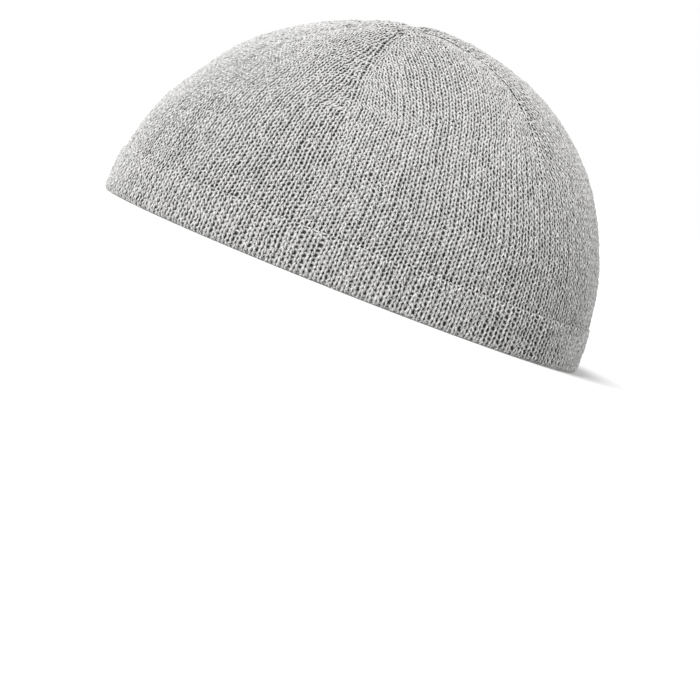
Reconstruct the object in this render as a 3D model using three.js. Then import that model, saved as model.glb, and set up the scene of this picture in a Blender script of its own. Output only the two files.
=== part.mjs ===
// Knitted kufi: a close skull cap of one knit, with a doubled band at its rim.
// Millimetres, +Z up. The cap stands on its rim at z = 0, centred on the Z axis,
// with its front towards -Y and the wearer's left towards +X.
// Angles run round the cap in degrees, from the front through the wearer's left.

import * as THREE from "three";

// ---- driving sizes ---------------------------------------------------------------------

const CAP_HEIGHT = 107;          // rim to the top of the smooth dome
const WALL = 1.8;                // one layer of the knit
const BAND_HEIGHT = 19;          // the doubled band at the rim
const BAND_WALL = 3.5;           // two layers, folded at the rim
const BAND_PROUD = 0.6;          // how far the band's face stands out from the crown's
const BAND_FOOT = 1.0;           // flat width of the fold that the cap stands on
const BAND_SHOULDER = 1.0;       // rounding of the band's top edge, outside
const BAND_BACK_SHOULDER = 0.5;  // and inside
const CORNER_MIDDLE = 0.3;       // share of its radius that a rounding's middle is cut in
const SEAT_GAP = 0.3;            // between the band's top edge and the crown

const APEX = new THREE.Vector2(12, -14.5);  // where the six gores close
const DRIFT_START = 58;          // height above which the rings drift towards the apex
const TURN_START = 62;           // height above which a decrease line turns on its way up
const DIMPLE_DEPTH = 0.7;        // the closure is drawn in
const DIMPLE_RADIUS = 7;
const GROOVE_DEPTH = 0.9;        // decrease lines between the gores
const GROOVE_HALF_WIDTH = 3.2;
const GROOVE_START = 58;         // height at which a decrease line begins
const GROOVE_FULL = 94.5;        // height at which it has its full depth
const PUFF = 0.5;                // how far a gore swells between two decrease lines

const CROWN_RINGS = 20;
const RING_EASE = 1.3;           // how strongly the rings gather towards the apex
const STEPS_PER_GORE = 14;
const HALVINGS = 40;             // steps of the search for a point's height on the dome

// The six decrease lines: the angle at which each would meet the rim, and the angle at
// which it comes into the apex. The cap is worn a little askew, so no two are alike.
const DECREASE_LINES = [
  { name: "front", rim: 12, apex: 2 },
  { name: "left_front", rim: 64, apex: 64 },
  { name: "left_back", rim: 124.5, apex: 159.5 },
  { name: "back", rim: 190, apex: 205 },
  { name: "right_back", rim: 256, apex: 258 },
  { name: "right_front", rim: 315, apex: 308 },
];

// Level sections of the cap's outer face. Each is an ellipse whose centre lies on the
// fore-and-aft plane, behind the Z axis by the middle column.
const SECTIONS = [
  { height: 0, middle: 0, halfLength: 102.0, halfWidth: 80.0 },
  { height: 11.5, middle: 0, halfLength: 101.5, halfWidth: 80.2 },
  { height: 22, middle: 0.2, halfLength: 100.1, halfWidth: 79.8 },
  { height: 33, middle: 0.6, halfLength: 97.7, halfWidth: 78.8 },
  { height: 42.5, middle: 1.0, halfLength: 94.5, halfWidth: 77.1 },
  { height: 51, middle: 1.6, halfLength: 90.3, halfWidth: 74.7 },
  { height: 60.5, middle: 2.3, halfLength: 84.7, halfWidth: 70.8 },
  { height: 70.5, middle: 2.9, halfLength: 77.7, halfWidth: 65.1 },
  { height: 79, middle: 3.6, halfLength: 69.6, halfWidth: 58.4 },
  { height: 87.5, middle: 4.5, halfLength: 58.8, halfWidth: 49.8 },
  { height: 94.5, middle: 5.2, halfLength: 47.5, halfWidth: 40.7 },
  { height: 99.5, middle: 5.5, halfLength: 36.6, halfWidth: 31.9 },
  { height: 103, middle: 5.5, halfLength: 26.0, halfWidth: 22.8 },
  { height: CAP_HEIGHT, middle: 5.5, halfLength: 0, halfWidth: 0 },
];

const CROWN_FOOT = BAND_HEIGHT + SEAT_GAP;
const STEPS_ROUND = DECREASE_LINES.length * STEPS_PER_GORE;

// ---- the cap's smooth outer face -------------------------------------------------------

// A smooth curve through one quantity of the table, without overshoot.
function throughSections(quantity, height) {
  const last = SECTIONS.length - 1;
  const slopes = [];
  for (let i = 0; i < last; i += 1) {
    const rise = SECTIONS[i + 1].height - SECTIONS[i].height;
    slopes.push((quantity(SECTIONS[i + 1]) - quantity(SECTIONS[i])) / rise);
  }
  const slopeAt = (i) => {
    if (i === 0 || i === last) return slopes[Math.min(i, last - 1)];
    const product = slopes[i - 1] * slopes[i];
    return product > 0 ? (2 * product) / (slopes[i - 1] + slopes[i]) : 0;
  };
  const z = THREE.MathUtils.clamp(height, 0, CAP_HEIGHT);
  let row = 0;
  while (row < last - 1 && SECTIONS[row + 1].height < z) row += 1;
  const span = SECTIONS[row + 1].height - SECTIONS[row].height;
  const t = (z - SECTIONS[row].height) / span;
  const keep = (1 + 2 * t) * (1 - t) ** 2;
  const bend = span * t * (1 - t) * (slopeAt(row) * (1 - t) - slopeAt(row + 1) * t);
  return quantity(SECTIONS[row]) * keep + quantity(SECTIONS[row + 1]) * (1 - keep) + bend;
}

// Half sizes are carried as squares, which run straight through a round top.
function sectionAt(height) {
  return {
    middle: throughSections((row) => row.middle, height),
    halfLength: Math.sqrt(throughSections((row) => row.halfLength ** 2, height)),
    halfWidth: Math.sqrt(throughSections((row) => row.halfWidth ** 2, height)),
  };
}

// Height of the dome above a point inside the footprint, found by halving.
function domeHeight(point) {
  let low = DRIFT_START / 2;
  let high = CAP_HEIGHT;
  for (let halving = 0; halving < HALVINGS; halving += 1) {
    const height = (low + high) / 2;
    const section = sectionAt(height);
    const across = point.x / section.halfWidth;
    const along = (point.y - section.middle) / section.halfLength;
    if (across ** 2 + along ** 2 < 1) low = height;
    else high = height;
  }
  return (low + high) / 2;
}

// A point of the smooth dome. Its rings are level up to DRIFT_START, and above that they
// move over the dome until they close round the apex.
function domePoint(height, angle) {
  const section = sectionAt(height);
  const drift = THREE.MathUtils.smoothstep(height, DRIFT_START, CAP_HEIGHT);
  const centre = new THREE.Vector2(0, section.middle).lerp(APEX, drift);
  const x = centre.x + section.halfWidth * Math.sin(angle);
  const y = centre.y - section.halfLength * Math.cos(angle);
  const z = drift > 0 ? domeHeight(new THREE.Vector2(x, y)) : height;
  return new THREE.Vector3(x, y, z);
}

function domeNormal(height, angle) {
  const small = 0.02;
  const round = domePoint(height, angle + small).sub(domePoint(height, angle - small));
  const rise = domePoint(height, angle).sub(domePoint(height - 1, angle));
  return round.cross(rise).normalize();
}

// Angle of one meridian at one height: STEPS_PER_GORE of them lie in each gore, the first
// on its decrease line.
function meridianAngle(index, height) {
  const risen = Math.max(0, (height - TURN_START) / (CAP_HEIGHT - TURN_START));
  const turned = risen ** 2;
  const lineAngle = (gore) => {
    const line = DECREASE_LINES[gore % DECREASE_LINES.length];
    const wholeTurns = 360 * Math.floor(gore / DECREASE_LINES.length);
    return wholeTurns + THREE.MathUtils.lerp(line.rim, line.apex, turned);
  };
  const gore = Math.floor(index / STEPS_PER_GORE);
  const part = (index % STEPS_PER_GORE) / STEPS_PER_GORE;
  const degrees = THREE.MathUtils.lerp(lineAngle(gore), lineAngle(gore + 1), part);
  return THREE.MathUtils.degToRad(degrees);
}

const MERIDIANS = Array.from({ length: STEPS_ROUND }, (_, index) => index);

// ---- closed meshes from rings ----------------------------------------------------------

// The wall between each ring and the next.
function ringWalls(ringCount) {
  const indices = [];
  for (let row = 0; row + 1 < ringCount; row += 1) {
    for (let i = 0; i < STEPS_ROUND; i += 1) {
      const next = (i + 1) % STEPS_ROUND;
      const low = row * STEPS_ROUND;
      const high = low + STEPS_ROUND;
      indices.push(low + i, low + next, high + next);
      indices.push(low + i, high + next, high + i);
    }
  }
  return indices;
}

function meshFrom(points, indices, name, material) {
  const geometry = new THREE.BufferGeometry().setFromPoints(points);
  geometry.setIndex(indices);
  geometry.computeVertexNormals();
  const mesh = new THREE.Mesh(geometry, material);
  mesh.name = name;
  return mesh;
}

// ---- the crown -------------------------------------------------------------------------

// Heights of the crown's rings, closer together where the dome turns over to the apex.
function crownHeights() {
  const heights = [];
  for (let ring = 0; ring < CROWN_RINGS; ring += 1) {
    const turned = 1 - (1 - ring / CROWN_RINGS) ** RING_EASE;
    heights.push(CROWN_FOOT + (CAP_HEIGHT - CROWN_FOOT) * Math.sin((turned * Math.PI) / 2));
  }
  return heights;
}

// How far the knit lies above the smooth dome: swelling gores, grooves and the dimple.
function relief(height, index) {
  const radius = sectionAt(height).halfWidth;
  const acrossGore = (index % STEPS_PER_GORE) / STEPS_PER_GORE;
  const goreWidth = (2 * Math.PI * radius) / DECREASE_LINES.length;
  const fromLine = Math.min(acrossGore, 1 - acrossGore) * goreWidth;
  const begun = THREE.MathUtils.smoothstep(height, GROOVE_START, GROOVE_FULL);
  const nearApex = Math.min(1, radius / GROOVE_HALF_WIDTH);
  const swell = PUFF * Math.sin(Math.PI * acrossGore) ** 2;
  const groove = GROOVE_DEPTH * nearApex * Math.exp(-((fromLine / GROOVE_HALF_WIDTH) ** 2));
  const dimple = DIMPLE_DEPTH * Math.exp(-((radius / DIMPLE_RADIUS) ** 2));
  return begun * (swell - groove) - dimple;
}

// One ring of the crown, at a depth below its outer face. The foot ring stays level.
function crownRing(height, depth) {
  return MERIDIANS.map((index) => {
    const angle = meridianAngle(index, height);
    const lift = relief(height, index) - depth;
    const point = domePoint(height, angle).addScaledVector(domeNormal(height, angle), lift);
    return height > CROWN_FOOT ? point : point.setZ(CROWN_FOOT);
  });
}

// Rings run down the inside, over the foot and up the outside; a tip closes each end.
function makeCrown(material) {
  const heights = crownHeights();
  const outside = heights.map((height) => crownRing(height, 0));
  const inside = heights.map((height) => crownRing(height, WALL)).reverse();
  const points = [...inside, ...outside].flat();
  const indices = ringWalls(2 * CROWN_RINGS);
  const outerTip = new THREE.Vector3(APEX.x, APEX.y, domeHeight(APEX) - DIMPLE_DEPTH);
  const innerTip = outerTip.clone().setZ(outerTip.z - WALL);
  const topRing = points.length - STEPS_ROUND;
  points.push(outerTip, innerTip);
  for (let i = 0; i < STEPS_ROUND; i += 1) {
    const next = (i + 1) % STEPS_ROUND;
    indices.push(topRing + i, topRing + next, points.length - 2);
    indices.push(next, i, points.length - 1);
  }
  return meshFrom(points, indices, "crown", material);
}

// ---- the doubled band at the rim -------------------------------------------------------

// Section of the band: how far out from the crown's face, and how high. It runs from the
// outside of the foot up the outside, over the top edge and down the inside.
function bandSection() {
  const face = BAND_PROUD;
  const back = BAND_PROUD - BAND_WALL;
  const footOut = (face + back + BAND_FOOT) / 2;
  const footIn = footOut - BAND_FOOT;
  const turn = (BAND_WALL - BAND_FOOT) / 2;
  const shoulder = BAND_SHOULDER;
  const inner = BAND_BACK_SHOULDER;
  return [
    { out: footOut, height: 0 },
    { out: face - CORNER_MIDDLE * turn, height: CORNER_MIDDLE * turn },
    { out: face, height: turn },
    { out: face, height: BAND_HEIGHT / 2 },
    { out: face, height: BAND_HEIGHT - shoulder },
    { out: face - CORNER_MIDDLE * shoulder, height: BAND_HEIGHT - CORNER_MIDDLE * shoulder },
    { out: face - shoulder, height: BAND_HEIGHT },
    { out: back + inner, height: BAND_HEIGHT },
    { out: back, height: BAND_HEIGHT - inner },
    { out: back, height: BAND_HEIGHT / 2 },
    { out: back, height: turn },
    { out: back + CORNER_MIDDLE * turn, height: CORNER_MIDDLE * turn },
    { out: footIn, height: 0 },
  ];
}

function bandRing(row) {
  const { middle, halfLength, halfWidth } = sectionAt(row.height);
  return MERIDIANS.map((index) => {
    const angle = meridianAngle(index, row.height);
    const across = Math.sin(angle);
    const along = -Math.cos(angle);
    const outward = new THREE.Vector2(halfLength * across, halfWidth * along).normalize();
    const x = halfWidth * across + row.out * outward.x;
    const y = middle + halfLength * along + row.out * outward.y;
    return new THREE.Vector3(x, y, row.height);
  });
}

function makeBand(material) {
  const section = bandSection();
  const points = section.flatMap(bandRing);
  const indices = ringWalls(section.length + 1).map((index) => index % points.length);
  return meshFrom(points, indices, "hem_band", material);
}

// ---- the cap ---------------------------------------------------------------------------

const knit = new THREE.MeshStandardMaterial({ color: 0xa9a8a6, roughness: 0.95, metalness: 0 });
const bandKnit = new THREE.MeshStandardMaterial({ color: 0xa2a19f, roughness: 0.95, metalness: 0 });

const kufi = new THREE.Group();
kufi.add(makeCrown(knit));
kufi.add(makeBand(bandKnit));

export default kufi;
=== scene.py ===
"""Knitted kufi: every stitch of the cap as looped yarn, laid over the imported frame.

Lengths are millimetres, apart from the studio's, which are metres.
Places on the cloth are given by a gore coordinate, 0 to 6 round the cap from the front
decrease line through the wearer's left, and by a course, counted from the inner edge of
the doubled hem, round its fold, up its face and over the crown to the closure.
"""

import math

import bpy
import numpy as np
from mathutils import Matrix, Vector


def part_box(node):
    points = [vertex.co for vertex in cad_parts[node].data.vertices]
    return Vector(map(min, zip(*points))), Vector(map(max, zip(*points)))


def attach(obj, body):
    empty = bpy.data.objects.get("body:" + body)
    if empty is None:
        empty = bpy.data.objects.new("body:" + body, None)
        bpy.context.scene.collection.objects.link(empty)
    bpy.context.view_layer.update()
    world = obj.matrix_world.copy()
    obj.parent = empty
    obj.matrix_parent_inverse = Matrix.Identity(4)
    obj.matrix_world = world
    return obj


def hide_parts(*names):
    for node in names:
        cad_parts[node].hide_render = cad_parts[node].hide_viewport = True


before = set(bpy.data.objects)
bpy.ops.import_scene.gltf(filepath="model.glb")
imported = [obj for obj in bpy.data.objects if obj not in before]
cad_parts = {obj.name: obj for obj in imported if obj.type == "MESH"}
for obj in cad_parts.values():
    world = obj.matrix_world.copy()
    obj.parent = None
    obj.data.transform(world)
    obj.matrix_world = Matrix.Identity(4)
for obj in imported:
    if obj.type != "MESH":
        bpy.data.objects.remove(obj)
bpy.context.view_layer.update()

METRE = 0.001

# ---- the frame -------------------------------------------------------------------------

HEM_LOW, HEM_HIGH = (np.array(corner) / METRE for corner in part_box("hem_band"))
CROWN_HIGH = np.array(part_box("crown")[1]) / METRE

HEM_PROUD = 0.6            # the hem's face outside the crown's
HEM_DEPTH = 3.8            # the doubled hem, face to face
TOP_SWELL = 0.31           # the gores' tops above the smooth dome
HALF_LENGTH = (HEM_HIGH[1] - HEM_LOW[1]) / 2 - HEM_PROUD
HALF_WIDTH = (HEM_HIGH[0] - HEM_LOW[0]) / 2 - HEM_PROUD
DOME_HEIGHT = CROWN_HIGH[2] - TOP_SWELL
HEM_TOP = HEM_HIGH[2]

APEX = np.array([0.150 * HALF_WIDTH, -0.142 * HALF_LENGTH])
DRIFT_START = 0.542 * DOME_HEIGHT
TURN_START = 0.5795 * DOME_HEIGHT
GROOVE_START = 0.542 * DOME_HEIGHT
GROOVE_FULL = 0.883 * DOME_HEIGHT
GROOVE_DEPTH = 0.45
GROOVE_HALF_WIDTH = 2.4
PUFF = 0.5                 # how far a gore swells between its decrease lines
DIMPLE_DEPTH = 0.1         # the shallow dip round the closure
DIMPLE_RADIUS = 7.0
HEM_FADE = (-0.3, 2.2)     # above HEM_TOP, where the hem's face falls back to the crown's
LINK_DEPTH = 0.55          # the furrow where hem and crown are linked
LINK_HEIGHT = 0.3          # its middle above HEM_TOP
LINK_HALF_WIDTH = 0.9
INNER_EDGE = 1.0           # the hem's inner edge below HEM_TOP

# Level sections of the dome, as shares of its height, half length and half width.
#   height  middle  half length  half width
SECTIONS = np.array([
    (0.0000, 0.0000, 1.0000, 0.9975),
    (0.1075, 0.0000, 0.9951, 1.0000),
    (0.2056, 0.0020, 0.9814, 0.9950),
    (0.3084, 0.0059, 0.9578, 0.9825),
    (0.3972, 0.0098, 0.9265, 0.9613),
    (0.4766, 0.0157, 0.8853, 0.9314),
    (0.5654, 0.0225, 0.8304, 0.8828),
    (0.6589, 0.0284, 0.7618, 0.8117),
    (0.7383, 0.0353, 0.6824, 0.7282),
    (0.8178, 0.0441, 0.5765, 0.6209),
    (0.8832, 0.0510, 0.4657, 0.5075),
    (0.9299, 0.0539, 0.3588, 0.3978),
    (0.9626, 0.0539, 0.2549, 0.2843),
    (1.0000, 0.0539, 0.0000, 0.0000),
])

# Decrease lines: degrees round from the front at the rim, and where they reach the apex.
#   rim  apex
DECREASE_LINES = np.array([
    (12.0, 2.0),
    (64.0, 64.0),
    (124.5, 159.5),
    (190.0, 205.0),
    (256.0, 258.0),
    (315.0, 308.0),
])
GORES = len(DECREASE_LINES)

# Wales in the gore that follows each line, in the hem and in the crown below the first
# decrease: fewer in the two front gores, which are narrower.
HEM_WALES = (26, 30, 29, 30, 29, 26)
CROWN_WALES = (26, 32, 31, 33, 31, 26)

# The wales skew one way up to where the decreases begin, and back above it.
#   share of the dome's height  degrees
TWIST = np.array([
    (0.000, 0.7),
    (0.360, 0.7),
    (0.560, -1.6),
    (0.600, -1.6),
    (0.800, 0.0),
    (1.000, 0.0),
])

# ---- the yarn --------------------------------------------------------------------------

CROWN_WALE = 2.55          # wale spacing that the decreases keep to
HEM_COURSE = 2.03          # course spacing in the hem
CROWN_COURSE = 2.35        # mean course spacing on the crown
COURSE_EASE = 30.0         # length over which the spacing eases from one to the other
CLOSURE_GAP = 0.1          # along the cloth, from the last course to the grid's innermost level
YARN_WIDTH = 1.04          # the yarn lies flattened, wider than it is thick
YARN_THICKNESS = 0.68
FULL_WALE = 3.3            # wale spacing at which the yarn is so thick; less squeezes it
SQUEEZE = 0.25             # by this power of the spacing
SQUEEZE_SPAN = (0.5, 1.1)  # and within these shares of its girth
HEM_FULLNESS = 1.07        # the hem's yarn is looser spun, by this much
YARN_FLANK_SHADE = 0.48          # painted shade: share of its colour that the yarn keeps down its flanks, for the shade between yarns
SWING = 0.42               # how far a loop weaves in front of and behind the cloth's middle
CREST_RISE = 0.05          # how far the loops' crests stand out of the cloth's faces
CLOTH_DEPTH = 2 * SWING + YARN_THICKNESS - 2 * CREST_RISE
LEG_OFFSET = 0.29          # from a wale's middle to the middle of either leg, in wales
SLANT = 0.56               # how far a leg leans out over its height
REACH = 0.84               # how far a loop reaches above and below its course, in courses
LINK_REACH = 0.72          # share of that towards the line where hem and crown are linked
SHADE_SHEET_DEPTH = 0.40       # painted shade: a near-black sheet between the loops, behind the cloth's middle, closing the holes
INSIDE_DEPTH = 0.58        # the cloth's felted inside
LAYER_CLOSURE = 0.02        # what is left open at the closure, as a share of the last course
LAYER_COLUMN = 3.0          # length of yarn that a column of either layer counts as; a row is one turn

# No two stitches are alike. Each spread is a standard deviation.
LEG_SPREAD = 0.11          # share of LEG_OFFSET
SLANT_SPREAD = 0.30        # share of SLANT
SWING_SPREAD = 0.16        # share of SWING
LEAN_SPREAD = 0.12         # the loop's head sideways
STRETCH_SPREAD = 0.09      # the loop's head up the wale, in courses
GIRTH_SPREAD = 0.16        # share of the squeezed yarn's girth
GIRTH_RANGE = (0.4, 1.4)   # and within these shares of its full girth
GIRTHS_PER_STITCH = 2

# The cloth as a whole is uneven too: sums of plane waves shift its points each way.
WAVES = 48
WAVE_LENGTHS = (3.6, 9.0)
SIDEWAYS = 0.11
LENGTHWAYS = 0.13
OUTWARD = 0.10

UNEVEN_SEED = 7
HEM_SEED = 100             # for the hem's first piece, and one more for each that follows
CROWN_SEED = 200

# ---- how finely it is made -------------------------------------------------------------

STEPS_PER_STITCH = 10
YARN_SIDES = 4
STRIPS_PER_COURSE = 5      # a course's yarn is folded into this many strips of the bake map
STRIP_MARGIN = 0.04        # free at either side of a strip, as a share of its width
COLUMNS_PER_GORE = 62      # of the grid of points that the cloth is read from
INNER_LEVELS = 50          # its levels down the hem's inside
FOLD_LEVELS = 16           # round the hem's fold
OUTER_LEVELS = 320         # up the hem's face and over the crown
TOP_GAP = 0.003            # from the grid's innermost level up to the dome's top
HALVINGS = 30              # in the search for the dome's height over a point
PIECE_TRIANGLES = 190000   # the most that one piece of knit may have


def smoothstep(value, start, end):
    share = np.clip((value - start) / (end - start), 0.0, 1.0)
    return share * share * (3.0 - 2.0 * share)


def lerp(first, second, share):
    return first + (second - first) * share


def unit(vectors):
    return vectors / np.linalg.norm(vectors, axis=-1, keepdims=True)


# ---- the cloth's middle surface --------------------------------------------------------

def through_sections(values, height):
    """A smooth curve through one column of SECTIONS, without overshoot."""
    heights = SECTIONS[:, 0] * DOME_HEIGHT
    rises = np.diff(heights)
    slopes = np.diff(values) / rises
    product = np.maximum(slopes[:-1] * slopes[1:], 0.0)
    total = slopes[:-1] + slopes[1:]
    inner = 2.0 * product / np.where(total == 0.0, 1.0, total)
    tangents = np.concatenate([slopes[:1], inner, slopes[-1:]])
    level = np.clip(height, 0.0, DOME_HEIGHT)
    row = np.clip(np.searchsorted(heights, level, side="right") - 1, 0, len(rises) - 1)
    share = (level - heights[row]) / rises[row]
    keep = (1.0 + 2.0 * share) * (1.0 - share) ** 2
    lean = tangents[row] * (1.0 - share) - tangents[row + 1] * share
    bend = rises[row] * share * (1.0 - share) * lean
    return values[row] * keep + values[row + 1] * (1.0 - keep) + bend


def section_at(height):
    """Middle, half length and half width of the dome's level section."""
    middle = through_sections(SECTIONS[:, 1] * HALF_LENGTH, height)
    length = through_sections((SECTIONS[:, 2] * HALF_LENGTH) ** 2, height)
    width = through_sections((SECTIONS[:, 3] * HALF_WIDTH) ** 2, height)
    return middle, np.sqrt(np.maximum(length, 0.0)), np.sqrt(np.maximum(width, 0.0))


def dome_height(x, y):
    """Height of the dome above points of its footprint, found by halving."""
    low = np.full(x.shape, DRIFT_START / 2)
    high = np.full(x.shape, DOME_HEIGHT)
    for _ in range(HALVINGS):
        height = (low + high) / 2
        middle, length, width = section_at(height)
        across = x / np.maximum(width, 1e-9)
        along = (y - middle) / np.maximum(length, 1e-9)
        inside = across ** 2 + along ** 2 < 1
        low = np.where(inside, height, low)
        high = np.where(inside, high, height)
    return (low + high) / 2


def gore_angle(gore, height):
    """Angle in radians of the wale line at a gore coordinate, at one height: a smooth
    periodic curve through the decrease lines."""
    risen = np.clip((height - TURN_START) / (DOME_HEIGHT - TURN_START), 0.0, 1.0)
    angle = 360.0 / GORES * gore + np.interp(height / DOME_HEIGHT, TWIST[:, 0], TWIST[:, 1])
    for line, (rim, apex) in enumerate(DECREASE_LINES):
        away = gore - line
        slope = GORES * np.tan(np.pi * away / GORES)
        near = np.abs(np.sin(np.pi * away / GORES)) < 1e-9
        weight = np.where(near, 1.0, np.sin(np.pi * away) / np.where(near, 1.0, slope))
        angle = angle + (lerp(rim, apex, risen ** 2) - 360.0 / GORES * line) * weight
    return np.radians(angle)


def dome_point(gore, height):
    """A point of the smooth dome; above DRIFT_START its rings drift to the apex."""
    middle, length, width = section_at(height)
    drift = smoothstep(height, DRIFT_START, DOME_HEIGHT)
    angle = gore_angle(gore, height)
    x = lerp(0.0, APEX[0], drift) + width * np.sin(angle)
    y = lerp(middle, APEX[1], drift) - length * np.cos(angle)
    z = np.where(drift > 0.0, dome_height(x, y), height)
    return np.stack([x, y, z], axis=-1)


def grid_normals(points):
    """Outward normals of a grid of points: levels down the first axis, closed round the second."""
    around = np.roll(points, -1, axis=1) - np.roll(points, 1, axis=1)
    upward = np.gradient(points, axis=0)
    return unit(np.cross(around, upward))


def relief(gore, height, z):
    """How far the cloth's middle lies outside the smooth dome."""
    radius = section_at(height)[2]
    across = gore - np.floor(gore)
    gore_width = 2.0 * np.pi * radius / GORES
    from_line = np.minimum(across, 1.0 - across) * gore_width
    begun = smoothstep(height, GROOVE_START, GROOVE_FULL)
    near_apex = np.minimum(1.0, radius / GROOVE_HALF_WIDTH)
    swell = PUFF * np.sin(np.pi * across) ** 2
    groove = GROOVE_DEPTH * near_apex * np.exp(-(from_line / GROOVE_HALF_WIDTH) ** 2)
    dimple = DIMPLE_DEPTH * np.exp(-(radius / DIMPLE_RADIUS) ** 2)
    hem = HEM_PROUD * (1.0 - smoothstep(z, HEM_TOP + HEM_FADE[0], HEM_TOP + HEM_FADE[1]))
    link = LINK_DEPTH * np.exp(-((z - HEM_TOP - LINK_HEIGHT) / LINK_HALF_WIDTH) ** 2)
    return begun * (swell - groove) - dimple + hem - link - CLOTH_DEPTH / 2


def cloth_grid():
    """Points of the cloth's middle surface, from the hem's inner edge to the apex, and the
    level at which the hem ends and the crown begins."""
    columns = np.arange(GORES * COLUMNS_PER_GORE) / COLUMNS_PER_GORE
    outer = HEM_PROUD - CLOTH_DEPTH / 2
    inner = HEM_PROUD - HEM_DEPTH + CLOTH_DEPTH / 2
    turn = (outer - inner) / 2
    fold = turn + CLOTH_DEPTH / 2
    down = np.linspace(HEM_TOP - INNER_EDGE, fold, INNER_LEVELS, endpoint=False)
    bend = np.linspace(0.0, np.pi, FOLD_LEVELS, endpoint=False)
    outs = np.concatenate([np.full(down.shape, inner), inner + turn - turn * np.cos(bend)])
    heights = np.concatenate([down, fold - turn * np.sin(bend)])
    middle, length, width = (value[:, None] for value in section_at(heights))
    angle = gore_angle(columns[None, :], heights[:, None])
    side, front = np.sin(angle), -np.cos(angle)
    outward = unit(np.stack([length * side, width * front], axis=-1))
    x = width * side + outs[:, None] * outward[..., 0]
    y = middle + length * front + outs[:, None] * outward[..., 1]
    z = np.broadcast_to(heights[:, None], x.shape)
    hem = np.stack([x, y, z], axis=-1)

    share = np.linspace(0.0, 1.0, OUTER_LEVELS)
    rising = fold + (DOME_HEIGHT - TOP_GAP - fold) * np.sin(share * np.pi / 2)
    gore = np.broadcast_to(columns[None, :], (OUTER_LEVELS, len(columns)))
    height = np.broadcast_to(rising[:, None], gore.shape)
    dome = dome_point(gore, height)
    lift = relief(gore, height, dome[..., 2])
    crown = dome + grid_normals(dome) * lift[..., None]
    hem_end = len(heights) + np.searchsorted(rising, HEM_TOP)
    return np.concatenate([hem, crown]), hem_end


def lay_courses(points, hem_end):
    """The grid level of each course at each column, and the number of hem courses."""
    steps = np.linalg.norm(np.diff(points, axis=0), axis=-1)
    along = np.concatenate([np.zeros((1, points.shape[1])), np.cumsum(steps, axis=0)])
    mean = along.mean(axis=1)
    levels = np.arange(len(points), dtype=float)
    hem_courses = round(mean[hem_end] / HEM_COURSE)
    hem_places = np.arange(hem_courses) * mean[hem_end] / hem_courses
    hem_levels = np.interp(hem_places, mean, levels)[:, None].repeat(points.shape[1], axis=1)

    total = mean[-1] - mean[hem_end]
    places = [0.0]
    while places[-1] < total - CLOSURE_GAP:
        ease = smoothstep(places[-1], 0.0, COURSE_EASE)
        places.append(places[-1] + lerp(HEM_COURSE, CROWN_COURSE, ease))
    places = np.array(places) * (total - CLOSURE_GAP) / places[-1]
    own_total = along[-1] - along[hem_end]
    share = places / total
    blend = (0.5 * share + 0.5 * smoothstep(share, 0.0, 1.0))[:, None]
    targets = places[:, None] + (own_total[None, :] - total) * blend
    crown_levels = np.empty_like(targets)
    for column in range(points.shape[1]):
        reach = along[:, column] - along[hem_end, column]
        crown_levels[:, column] = np.interp(targets[:, column], reach, levels)
    return np.concatenate([hem_levels, crown_levels]), hem_courses


def unevenness(points, rng):
    """Three smooth random fields over the cloth, each of unit size: sums of plane waves."""
    fields = []
    for _ in range(3):
        across = unit(rng.standard_normal((WAVES, 3)))
        number = 2.0 * np.pi / rng.uniform(*WAVE_LENGTHS, WAVES)
        start = rng.uniform(0.0, 2.0 * np.pi, WAVES)
        total = np.zeros(points.shape[:-1])
        for direction, rate, phase in zip(across, number, start):
            total += np.sin(points @ direction * rate + phase)
        fields.append(total * math.sqrt(2.0 / WAVES))
    return fields


class Cloth:
    """The middle surface as a function of course and gore coordinate."""

    def __init__(self):
        even, hem_end = cloth_grid()
        self.levels, self.hem_courses = lay_courses(even, hem_end)
        self.courses = len(self.levels)
        normals = grid_normals(even)
        around = unit(np.roll(even, -1, axis=1) - np.roll(even, 1, axis=1))
        upward = np.cross(normals, around)
        sideways, lengthways, outward = unevenness(even, np.random.default_rng(UNEVEN_SEED))
        self.points = (
            even
            + around * (SIDEWAYS * sideways)[..., None]
            + upward * (LENGTHWAYS * lengthways)[..., None]
            + normals * (OUTWARD * outward)[..., None]
        )
        self.normals = grid_normals(self.points)

    def _sample(self, grid, row, gore):
        column = (gore % GORES) * COLUMNS_PER_GORE
        left = np.floor(column).astype(int)
        across = column - left
        count = grid.shape[1]
        low = np.clip(np.floor(row).astype(int), 0, len(grid) - 2)
        up = row - low
        if grid.ndim == 3:
            across, up = across[..., None], up[..., None]
        first = lerp(grid[low, left % count], grid[low, (left + 1) % count], across)
        second = lerp(grid[low + 1, left % count], grid[low + 1, (left + 1) % count], across)
        return lerp(first, second, up)

    def place(self, course, gore):
        """Point and outward normal at a course (a fraction lies between courses)."""
        level = self._sample(self.levels, course, gore)
        level = np.clip(level, 0.0, len(self.points) - 1.001)
        point = self._sample(self.points, level, gore)
        return point, unit(self._sample(self.normals, level, gore))

    def gore_lengths(self, course, samples=240):
        """The length of a course across each gore."""
        share = np.linspace(0.0, 1.0, samples + 1)
        gore = np.arange(GORES)[:, None] + share[None, :] * (1 - 1e-9)
        point, _ = self.place(np.full(gore.shape, float(course)), gore)
        return np.linalg.norm(np.diff(point, axis=1), axis=-1).sum(axis=1)


# ---- wales: how many in each course, and where their edges lie -------------------------

EDGE_WALES = 1             # wales that follow a decrease line
EASING_WALES = 3           # wales beside them that give or take the slack
MOST_SLACK = 0.9           # the most that they give or take between them, in wales


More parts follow.
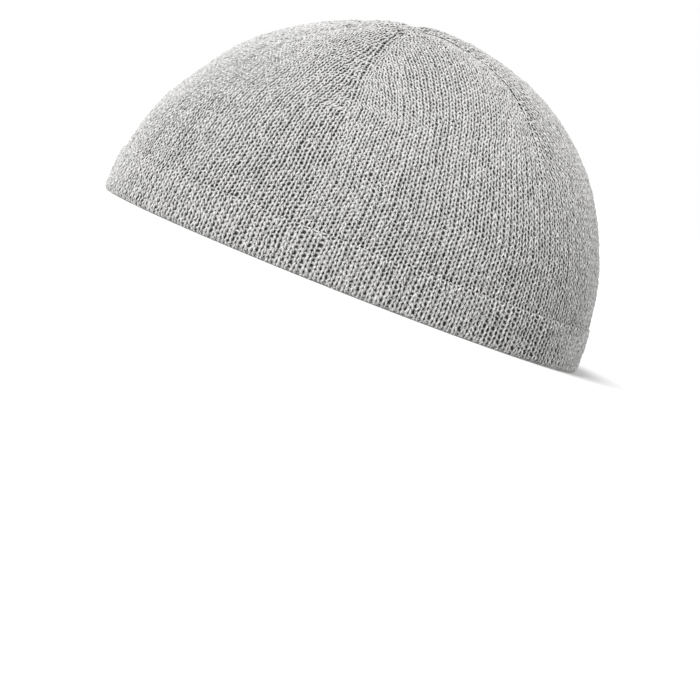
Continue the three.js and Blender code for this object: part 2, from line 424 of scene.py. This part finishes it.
def wale_counts(cloth):
    """Wales in each gore at every course, two fewer at each decrease, and the number that
    the gore has room for."""
    room = [cloth.gore_lengths(course) / CROWN_WALE for course in range(cloth.courses)]
    counts = [np.array(HEM_WALES)] * cloth.hem_courses
    count = np.array(CROWN_WALES)
    for course in range(cloth.hem_courses, cloth.courses):
        odd = count % 2
        wanted = odd + 2 * np.round((room[course] - odd) / 2).astype(int)
        count = np.maximum(2 - odd, np.minimum(count, np.maximum(count - 2, wanted)))
        counts.append(count)
    return counts, room


def edge_wales(count):
    """Wales that follow the decrease line at either side of a gore of this many."""
    return max(0, min(EDGE_WALES, (count - 3) // 2))


def wale_edges(counts, room):
    """Gore coordinates of the wales' edges: for each course an array to each gore."""
    edges = []
    for course, row in enumerate(counts):
        edges.append([])
        for gore, count in enumerate(row):
            widths = np.ones(count)
            edge = edge_wales(count)
            if count < CROWN_WALES[gore] and count > 2 * (edge + EASING_WALES):
                slack = np.clip((room[course][gore] - count) / 2, -MOST_SLACK, MOST_SLACK)
                ease = slack / EASING_WALES
                widths[edge:edge + EASING_WALES] += ease
                widths[count - edge - EASING_WALES:count - edge] += ease
            run = np.concatenate([[0.0], np.cumsum(widths)]) / widths.sum()
            edges[-1].append(gore + run)
    return edges


def partner(index, count, other):
    """The wale, among other wales of a neighbouring course, that continues this one."""
    if other == count:
        return index
    narrow, wide = min(count, other), max(count, other)
    edge = edge_wales(wide)
    if other > count:
        if index < edge:
            return index
        return index + 1 if index < narrow - edge else index + 2
    if index < edge:
        return index
    if index == edge:
        return max(edge - 1, 0)
    if index < wide - 1 - edge:
        return index - 1
    if index == wide - 1 - edge:
        return min(narrow - 1, narrow - edge) if edge else narrow - 1
    return index - 2


def course_cells(course, counts, edges, hem_courses):
    """Left and right edges of each wale a course below, on, and a course above this one.
    Hem and crown are two fabrics, so neither continues the other's wales."""
    left = np.concatenate([gore[:-1] for gore in edges[course]])
    right = np.concatenate([gore[1:] for gore in edges[course]])

    def neighbour(other):
        if not 0 <= other < len(counts) or (other < hem_courses) != (course < hem_courses):
            other = course
        lefts, rights = [], []
        for gore, count in enumerate(counts[course]):
            index = np.array([partner(i, count, counts[other][gore]) for i in range(count)])
            lefts.append(edges[other][gore][index])
            rights.append(edges[other][gore][index + 1])
        return np.concatenate(lefts), np.concatenate(rights)

    low_left, low_right = neighbour(course - 1)
    high_left, high_right = neighbour(course + 1)
    turn = np.zeros(len(left))
    turn[0] = GORES
    shared = (low_left + np.roll(low_right, 1) - turn) / 2
    low_left = shared
    low_right = np.roll(shared, -1)
    low_right[-1] += GORES
    return (low_left, low_right), (left, right), (high_left, high_right)


# ---- loops -----------------------------------------------------------------------------

def loop_path(cloth, course, counts, edges, rng):
    """The yarn of one course: points and cloth normals, stitches by steps, and the width of
    each stitch's wale."""
    low, here, high = course_cells(course, counts, edges, cloth.hem_courses)
    stitches = len(here[0])
    phase = 2.0 * np.pi * np.arange(STEPS_PER_STITCH) / STEPS_PER_STITCH
    own_course = np.full(stitches, float(course))
    left, right = (cloth.place(own_course, side)[0] for side in here)
    width = np.linalg.norm(right - left, axis=-1)

    def varied(spread):
        return spread * rng.standard_normal(stitches)

    # On an even run across the wale the legs would lie a quarter in from its edges. Gather
    # moves them from there, and waist undoes the run up a leg and leans it out.
    leg = LEG_OFFSET * width * (1.0 + varied(LEG_SPREAD))
    gather = 1 / 4 - leg / width
    slant = SLANT * (1.0 + varied(SLANT_SPREAD))
    waist = 1 / 8 + slant / (2.0 * width)
    swing = SWING * (1.0 + varied(SWING_SPREAD))
    lean = varied(LEAN_SPREAD) / width
    stretch = varied(STRETCH_SPREAD)

    t = phase[None, :]
    across = (
        t / (2.0 * np.pi)
        + waist[:, None] * np.sin(2.0 * t)
        + gather[:, None] * np.sin(t)
        + lean[:, None] * (1.0 - np.cos(t)) / 2.0
    )
    upward = -REACH * np.cos(t) + stretch[:, None] * (1.0 - np.cos(t)) / 2.0
    if course == cloth.hem_courses:
        upward = np.where(upward < 0.0, upward * LINK_REACH, upward)
    if course == cloth.hem_courses - 1:
        upward = np.where(upward > 0.0, upward * LINK_REACH, upward)
    outward = -swing[:, None] * np.cos(2.0 * t)

    below = np.clip(-upward, 0.0, None)
    above = np.clip(upward, 0.0, None)

    def blended(side):
        return (
            here[side][:, None]
            + (low[side] - here[side])[:, None] * below
            + (high[side] - here[side])[:, None] * above
        )

    gore = lerp(blended(0), blended(1), across)
    at = np.clip(course + upward, 0.0, cloth.courses - 1)
    point, normal = cloth.place(at, gore)
    return point + normal * outward[..., None], normal, width


def yarn_girth(width, in_hem, rng):
    """The yarn's girth at each step of a course, as a share of its full one."""
    squeeze = np.clip((width / FULL_WALE) ** SQUEEZE, *SQUEEZE_SPAN).repeat(GIRTHS_PER_STITCH)
    if in_hem:
        squeeze = squeeze * HEM_FULLNESS
    given = squeeze * (1.0 + GIRTH_SPREAD * rng.standard_normal(len(squeeze)))
    steps = np.arange(len(width) * STEPS_PER_STITCH)
    places = steps * GIRTHS_PER_STITCH / STEPS_PER_STITCH
    girth = np.interp(places, np.arange(len(given) + 1), np.append(given, given[0]))
    return np.clip(girth, *GIRTH_RANGE)


def tube(points, normals, girth):
    """Rings of YARN_SIDES vertices round a closed path, flattened against the cloth."""
    tangent = unit(np.roll(points, -1, axis=0) - np.roll(points, 1, axis=0))
    side = unit(np.cross(tangent, normals))
    up = np.cross(side, tangent)
    turn = 2.0 * np.pi * np.arange(YARN_SIDES) / YARN_SIDES
    ring = (
        up[:, None, :] * np.cos(turn)[None, :, None] * YARN_THICKNESS / 2
        + side[:, None, :] * np.sin(turn)[None, :, None] * YARN_WIDTH / 2
    )
    return points[:, None, :] + ring * girth[:, None, None]


def closed_tube_faces(rings, start):
    """Quads of a closed tube, outward, and their corners as (ring, side) for the maps."""
    ring = np.arange(rings)[:, None]
    side = np.arange(YARN_SIDES)[None, :]
    corners = []
    for step, turn in ((0, 0), (1, 0), (1, 1), (0, 1)):
        corners.append(np.stack(np.broadcast_arrays(ring + step, side + turn), axis=-1))
    corners = np.stack(corners, axis=2)
    faces = start + (corners[..., 0] % rings) * YARN_SIDES + corners[..., 1] % YARN_SIDES
    return faces.reshape(-1, 4), corners.reshape(-1, 4, 2)


def make_knit(name, cloth, courses, counts, edges, seed):
    """One piece of cloth: the closed yarn of each of its courses. Its bake map lays each
    course out in strips, and its strand map gives the length along the yarn and the turn
    round it."""
    rng = np.random.default_rng(seed)
    vertices, faces, bake_map, strand_map = [], [], [], []
    start = 0
    strips = STRIPS_PER_COURSE
    for row, course in enumerate(courses):
        point, normal, width = loop_path(cloth, course, counts, edges, rng)
        stitches = len(point)
        path = point.reshape(-1, 3)
        girth = yarn_girth(width, course < cloth.hem_courses, rng)
        rings = tube(path, normal.reshape(-1, 3), girth)
        quads, corners = closed_tube_faces(len(path), start)
        vertices.append(rings.reshape(-1, 3))
        faces.append(quads)
        start += len(path) * YARN_SIDES
        step = corners[..., 0]
        turn = corners[..., 1] / YARN_SIDES
        per_strip = math.ceil(stitches / strips) * STEPS_PER_STITCH
        strip = step[:, :1] // per_strip
        u = (step - strip * per_strip) / per_strip
        inset = STRIP_MARGIN + (1 - 2 * STRIP_MARGIN) * turn
        v = (row * strips + strip + inset) / (len(courses) * strips)
        bake_map.append(np.stack([u, v], axis=-1))
        steps = np.linalg.norm(np.roll(path, -1, axis=0) - path, axis=1)
        length = np.concatenate([[0.0], np.cumsum(steps)])
        strand_map.append(np.stack([length[step], turn], axis=-1))
    return mesh_object(
        name, np.concatenate(vertices), np.concatenate(faces),
        {"OFBake": np.concatenate(bake_map), "strand": np.concatenate(strand_map)})


def make_shade_sheet_or_inside(name, cloth, first, last, depth, inward=False):
    """A layer this far behind the cloth's middle, facing out or into the cap, a point on each
    course at every second column of the grid: the sheet of painted shade, or the cap's inside."""
    courses = np.arange(first, last, 1.0)
    gores = np.arange(GORES * COLUMNS_PER_GORE // 2) * 2.0 / COLUMNS_PER_GORE
    course, gore = np.meshgrid(courses, gores, indexing="ij")
    point, normal = cloth.place(course, gore)
    rows = point - normal * depth
    if last == cloth.courses:
        middle = rows[-1].mean(axis=0)
        rows = np.concatenate([rows, [lerp(middle, rows[-1], LAYER_CLOSURE)]])
    vertices = rows.reshape(-1, 3)
    row = np.arange(len(rows) - 1)[:, None]
    column = np.arange(len(gores))[None, :]
    corners = []
    for up, on in ((0, 0), (0, 1), (1, 1), (1, 0)):
        corners.append(np.stack(np.broadcast_arrays(row + up, column + on), axis=-1))
    corners = np.stack(corners, axis=2).reshape(-1, 4, 2)
    if inward:
        corners = corners[:, ::-1]
    quads = corners[..., 0] * len(gores) + corners[..., 1] % len(gores)
    place = np.stack([corners[..., 1] / len(gores), corners[..., 0] / len(rows)], axis=-1)
    strand = np.stack([corners[..., 1] * LAYER_COLUMN, corners[..., 0]], axis=-1)
    return mesh_object(name, vertices, quads, {"OFBake": place, "strand": strand})


def add_object(name, data):
    made = bpy.data.objects.new(name, data)
    bpy.context.scene.collection.objects.link(made)
    return made


def mesh_object(name, vertices, quads, maps):
    """A smooth mesh of quads, in metres, with a UV map for each entry of maps."""
    mesh = bpy.data.meshes.new(name)
    mesh.vertices.add(len(vertices))
    mesh.vertices.foreach_set("co", (vertices * METRE).astype(np.float32).ravel())
    mesh.loops.add(quads.size)
    mesh.loops.foreach_set("vertex_index", quads.astype(np.int32).ravel())
    mesh.polygons.add(len(quads))
    mesh.polygons.foreach_set("loop_start", np.arange(0, quads.size, 4, dtype=np.int32))
    mesh.polygons.foreach_set("use_smooth", np.ones(len(quads), dtype=bool))
    for label, places in maps.items():
        layer = mesh.uv_layers.new(name=label)
        layer.data.foreach_set("uv", places.astype(np.float32).ravel())
    mesh.update()
    mesh.validate()
    return add_object(name, mesh)


# ---- materials -------------------------------------------------------------------------

# Light and dark fibres of each yarn.
KNIT_LIGHT = (0.86, 0.854, 0.844)
KNIT_DARK = (0.15, 0.149, 0.147)
BAND_LIGHT = (0.87, 0.864, 0.854)
BAND_DARK = KNIT_DARK
# painted shade: the near-black sheet behind the loops
SHADE_SHEET_LIGHT = (0.07, 0.0695, 0.0685)
SHADE_SHEET_DARK = (0.03, 0.03, 0.0295)
INSIDE_LIGHT = (0.72, 0.715, 0.706)
INSIDE_DARK = (0.14, 0.139, 0.137)

FIBRE_RATE = (0.85, 3.2, 1.0)   # the noise's steps to a millimetre of yarn, and to a turn
FIBRE_MIX = (0.32, 0.58)        # noise below the first is dark, and above the second light
FIBRE_HEIGHT = 0.1              # from the lowest of the noise to the highest
FLANK_SHADE_TURNS = (0.20, 0.44)      # painted shade, from the yarn's foot: darkest up to one, full past the other


def paint_flank_shade(nodes, links, strand, ramp, shader, flank_shade):
    """Painted shade: darken the colour away from the yarn's crest, which lies at turns 0 and 1,
    half a turn from its foot, standing in for the shade that falls between the yarns."""
    parts = nodes.new("ShaderNodeSeparateXYZ")
    links.new(strand.outputs["UV"], parts.inputs["Vector"])
    middle = nodes.new("ShaderNodeMath")
    middle.operation = "SUBTRACT"
    middle.inputs[1].default_value = 0.5
    links.new(parts.outputs["Y"], middle.inputs[0])
    away = nodes.new("ShaderNodeMath")
    away.operation = "ABSOLUTE"
    links.new(middle.outputs["Value"], away.inputs[0])
    crest = nodes.new("ShaderNodeMapRange")
    crest.interpolation_type = "SMOOTHSTEP"
    crest.inputs["From Min"].default_value = FLANK_SHADE_TURNS[0]
    crest.inputs["From Max"].default_value = FLANK_SHADE_TURNS[1]
    crest.inputs["To Min"].default_value = flank_shade
    crest.inputs["To Max"].default_value = 1.0
    links.new(away.outputs["Value"], crest.inputs["Value"])
    shaded_colour = nodes.new("ShaderNodeVectorMath")
    shaded_colour.operation = "SCALE"
    links.new(ramp.outputs["Color"], shaded_colour.inputs["Vector"])
    links.new(crest.outputs["Result"], shaded_colour.inputs["Scale"])
    links.new(shaded_colour.outputs["Vector"], shader.inputs["Base Color"])


def yarn_material(name, light, dark, flank_shade=1.0):
    """Heathered yarn: light and dark fibres spun together, the colour falling to the given share
    of itself down the yarn's flanks as painted shade."""
    material = bpy.data.materials.new(name)
    material.use_nodes = True
    nodes, links = material.node_tree.nodes, material.node_tree.links
    nodes.clear()
    output = nodes.new("ShaderNodeOutputMaterial")
    shader = nodes.new("ShaderNodeBsdfPrincipled")
    shader.inputs["Roughness"].default_value = 0.9
    shader.inputs["Specular IOR Level"].default_value = 0.2
    shader.inputs["Sheen Weight"].default_value = 0.04
    shader.inputs["Sheen Roughness"].default_value = 0.5
    links.new(shader.outputs["BSDF"], output.inputs["Surface"])
    strand = nodes.new("ShaderNodeUVMap")
    strand.uv_map = "strand"
    scale = nodes.new("ShaderNodeMapping")
    scale.inputs["Scale"].default_value = FIBRE_RATE
    links.new(strand.outputs["UV"], scale.inputs["Vector"])
    fibre = nodes.new("ShaderNodeTexNoise")
    fibre.inputs["Scale"].default_value = 1.0
    fibre.inputs["Detail"].default_value = 3.0
    fibre.inputs["Roughness"].default_value = 0.7
    links.new(scale.outputs["Vector"], fibre.inputs["Vector"])
    ramp = nodes.new("ShaderNodeValToRGB")
    ramp.color_ramp.elements[0].position = FIBRE_MIX[0]
    ramp.color_ramp.elements[0].color = (*dark, 1.0)
    ramp.color_ramp.elements[1].position = FIBRE_MIX[1]
    ramp.color_ramp.elements[1].color = (*light, 1.0)
    links.new(fibre.outputs["Fac"], ramp.inputs["Fac"])
    if flank_shade == 1.0:
        links.new(ramp.outputs["Color"], shader.inputs["Base Color"])
    else:
        paint_flank_shade(nodes, links, strand, ramp, shader, flank_shade)
    bump = nodes.new("ShaderNodeBump")
    bump.inputs["Strength"].default_value = 0.5
    bump.inputs["Distance"].default_value = FIBRE_HEIGHT * METRE
    links.new(fibre.outputs["Fac"], bump.inputs["Height"])
    links.new(bump.outputs["Normal"], shader.inputs["Normal"])
    return material


# ---- the cap ---------------------------------------------------------------------------

cloth = Cloth()
counts, room = wale_counts(cloth)
edges = wale_edges(counts, room)
crown_start = cloth.hem_courses
# the knit's yarn, with painted shade down its flanks
knit = yarn_material("heather_knit", KNIT_LIGHT, KNIT_DARK, YARN_FLANK_SHADE)
band_knit = yarn_material("heather_band_knit", BAND_LIGHT, BAND_DARK, YARN_FLANK_SHADE)


def split(first, last):
    """Runs of courses that each keep under the limit of triangles."""
    runs, run, load = [], [], 0
    for course in range(first, last):
        cost = sum(counts[course]) * STEPS_PER_STITCH * YARN_SIDES * 2
        if load + cost > PIECE_TRIANGLES:
            runs.append(run)
            run, load = [], 0
        run.append(course)
        load += cost
    runs.append(run)
    return runs


for number, run in enumerate(split(0, crown_start)):
    piece = make_knit(f"hem_knit_{number + 1}", cloth, run, counts, edges, HEM_SEED + number)
    piece.data.materials.append(band_knit)
    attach(piece, "root")
    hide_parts("hem_band")

for number, run in enumerate(split(crown_start, cloth.courses)):
    piece = make_knit(f"crown_knit_{number + 1}", cloth, run, counts, edges, CROWN_SEED + number)
    piece.data.materials.append(knit)
    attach(piece, "root")
    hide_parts("crown")

# painted shade: a near-black sheet that closes the holes between the loops, coloured dark to stand
# in for the shade inside the cloth; the inside layer is the cap's own grey
shade_sheet = yarn_material("painted_shade_back", SHADE_SHEET_LIGHT, SHADE_SHEET_DARK)
inside = yarn_material("felted_inside", INSIDE_LIGHT, INSIDE_DARK)
for name, first, last, depth, material, node, slot in (
        ("hem_shade_sheet", 0, crown_start + 1, SHADE_SHEET_DEPTH, shade_sheet, "hem_band", "band_knit"),
        ("crown_shade_sheet", crown_start, cloth.courses, SHADE_SHEET_DEPTH, shade_sheet, "crown", "knit"),
        ("crown_inside", crown_start, cloth.courses, INSIDE_DEPTH, inside, "crown", "knit")):
    piece = make_shade_sheet_or_inside(name, cloth, first, last, depth, inward=material == inside)
    piece.data.materials.append(material)
    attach(piece, "root")
    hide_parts(node)

# ---- studio ----------------------------------------------------------------------------

CAMERA_AZIMUTH = math.radians(76.0)
CAMERA_HEIGHT = math.radians(3.92)
CAMERA_ROLL = math.radians(21.85)
CAMERA_DISTANCE = 1.6
FRAME_WIDTH = 0.2803       # width of the view at the cap
AIM_RIGHT = 0.0136         # the view's middle from the rim's, along the rim
AIM_UP = -0.0245           # and square to it
VIEW_REACH = 50.0          # how far the camera sees

KEY_FROM = (0.34, -0.50, 0.84)
KEY_STRENGTH = 2.7
KEY_SPREAD = 24.0          # degrees across the key light
FILL_STRENGTH = 0.455
FLOOR_REACH = 6.0          # from its middle to each edge
FLOOR_GREY = 0.85
FLOOR_GLOW = 0.16          # light that it gives off itself


def make_camera():
    forward = Vector((
        -math.sin(CAMERA_AZIMUTH) * math.cos(CAMERA_HEIGHT),
        math.cos(CAMERA_AZIMUTH) * math.cos(CAMERA_HEIGHT),
        -math.sin(CAMERA_HEIGHT)))
    right = Vector((math.cos(CAMERA_AZIMUTH), math.sin(CAMERA_AZIMUTH), 0.0))
    up = right.cross(forward)
    data = bpy.data.cameras.new("camera")
    data.sensor_width = 36.0
    data.lens = data.sensor_width * CAMERA_DISTANCE / FRAME_WIDTH
    data.clip_end = VIEW_REACH
    camera = add_object("camera", data)
    aim = right * AIM_RIGHT + up * AIM_UP
    camera.location = aim - forward * CAMERA_DISTANCE
    turn = Matrix.Rotation(-CAMERA_ROLL, 3, forward)
    axes = Matrix((turn @ right, turn @ up, -forward)).transposed()
    camera.rotation_euler = axes.to_euler()
    bpy.context.scene.camera = camera


def make_floor():
    reach = FLOOR_REACH
    corners = [(-reach, -reach, 0), (reach, -reach, 0), (reach, reach, 0), (-reach, reach, 0)]
    mesh = bpy.data.meshes.new("floor")
    mesh.from_pydata(corners, [], [(0, 1, 2, 3)])
    floor = add_object("floor", mesh)
    material = bpy.data.materials.new("floor")
    material.use_nodes = True
    shader = material.node_tree.nodes["Principled BSDF"]
    shader.inputs["Base Color"].default_value = (FLOOR_GREY, FLOOR_GREY, FLOOR_GREY, 1.0)
    shader.inputs["Roughness"].default_value = 0.9
    shader.inputs["Emission Color"].default_value = (1.0, 1.0, 1.0, 1.0)
    shader.inputs["Emission Strength"].default_value = FLOOR_GLOW
    mesh.materials.append(material)


def make_sun():
    data = bpy.data.lights.new("key", "SUN")
    data.energy = KEY_STRENGTH
    data.angle = math.radians(KEY_SPREAD)
    lamp = add_object("key", data)
    lamp.rotation_euler = Vector(KEY_FROM).to_track_quat("Z", "Y").to_euler()


def make_world():
    """Even light from all round that is brighter to the camera than on the cap."""
    world = bpy.data.worlds.new("studio")
    world.use_nodes = True
    bpy.context.scene.world = world
    nodes, links = world.node_tree.nodes, world.node_tree.links
    background = nodes["Background"]
    background.inputs["Color"].default_value = (1.0, 1.0, 1.0, 1.0)
    path = nodes.new("ShaderNodeLightPath")
    strength = nodes.new("ShaderNodeMapRange")
    strength.inputs["To Min"].default_value = FILL_STRENGTH
    strength.inputs["To Max"].default_value = 1.0
    links.new(path.outputs["Is Camera Ray"], strength.inputs["Value"])
    links.new(strength.outputs["Result"], background.inputs["Strength"])


bpy.context.scene.view_settings.view_transform = "Standard"
make_camera()
make_world()
make_floor()
make_sun()
